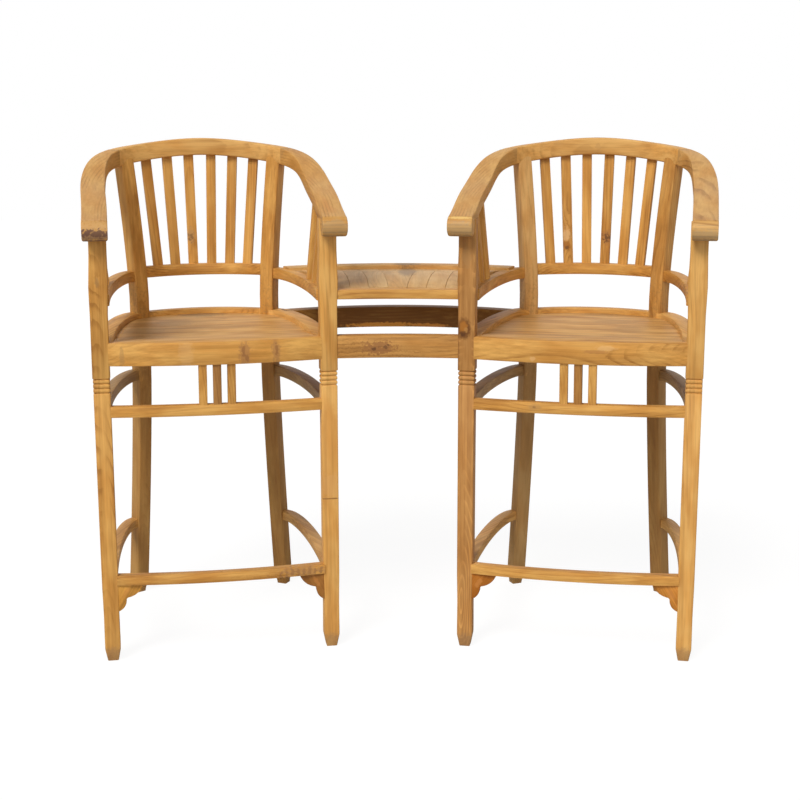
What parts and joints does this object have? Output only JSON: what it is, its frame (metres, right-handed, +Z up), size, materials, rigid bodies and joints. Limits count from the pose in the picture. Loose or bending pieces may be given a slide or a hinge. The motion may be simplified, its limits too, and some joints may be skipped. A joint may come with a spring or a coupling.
{
  "type": "teak double chair",
  "caption": "Bar-height pair of curved-back slatted armchairs, toed in toward each other and joined by a small slatted table, all in golden teak",
  "frame": {"origin": "on the floor, under the middle of the bounding box", "axes": "+X to the viewer's right along the two chairs, +Y to the backs of the chairs, +Z up"},
  "size_m": [1.532, 0.66, 1.203],
  "materials": {
    "golden_teak": "sanded, unoiled teak",
    "honey_teak": "sanded, unoiled teak, lighter",
    "amber_teak": "sanded, unoiled teak, redder and darker",
    "weathered_teak": "sanded teak boards, greyer"
  },
  "bodies": {
    "root": {"left_arm_inner": "honey_teak", "left_arm_outer": "honey_teak", "left_back_leg_inner": "golden_teak", "left_back_leg_outer": "golden_teak", "left_back_slat_1": "golden_teak", "left_back_slat_2": "golden_teak", "left_back_slat_3": "golden_teak", "left_back_slat_4": "golden_teak", "left_back_slat_5": "golden_teak", "left_back_slat_6": "golden_teak", "left_crest_rail": "honey_teak", "left_footrest": "golden_teak", "left_front_leg_inner": "golden_teak", "left_front_leg_outer": "golden_teak", "left_lower_back_rail": "golden_teak", "left_lower_side_rail_inner": "golden_teak", "left_lower_side_rail_outer": "golden_teak", "left_lower_side_stretcher_inner": "golden_teak", "left_lower_side_stretcher_outer": "golden_teak", "left_seat_back_rail": "golden_teak", "left_seat_front_rail": "golden_teak", "left_seat_panel": "weathered_teak", "left_seat_side_rail_inner": "golden_teak", "left_seat_side_rail_outer": "golden_teak", "left_upper_front_stretcher": "golden_teak", "left_upper_side_stretcher_inner": "golden_teak", "left_upper_side_stretcher_outer": "golden_teak", "lower_front_apron": "amber_teak", "lower_rear_apron": "amber_teak", "right_arm_inner": "honey_teak", "right_arm_outer": "honey_teak", "right_back_leg_inner": "golden_teak", "right_back_leg_outer": "golden_teak", "right_back_slat_1": "golden_teak", "right_back_slat_2": "golden_teak", "right_back_slat_3": "golden_teak", "right_back_slat_4": "golden_teak", "right_back_slat_5": "golden_teak", "right_back_slat_6": "golden_teak", "right_crest_rail": "honey_teak", "right_footrest": "golden_teak", "right_front_leg_inner": "golden_teak", "right_front_leg_outer": "golden_teak", "right_lower_back_rail": "golden_teak", "right_lower_side_rail_inner": "golden_teak", "right_lower_side_rail_outer": "golden_teak", "right_lower_side_stretcher_inner": "golden_teak", "right_lower_side_stretcher_outer": "golden_teak", "right_seat_back_rail": "golden_teak", "right_seat_front_rail": "golden_teak", "right_seat_panel": "weathered_teak", "right_seat_side_rail_inner": "golden_teak", "right_seat_side_rail_outer": "golden_teak", "right_upper_front_stretcher": "golden_teak", "right_upper_side_stretcher_inner": "golden_teak", "right_upper_side_stretcher_outer": "golden_teak", "table_batten": "honey_teak", "table_front_rail": "honey_teak", "table_rear_rail": "honey_teak", "table_top": "weathered_teak"}
  },
  "joints": []
}
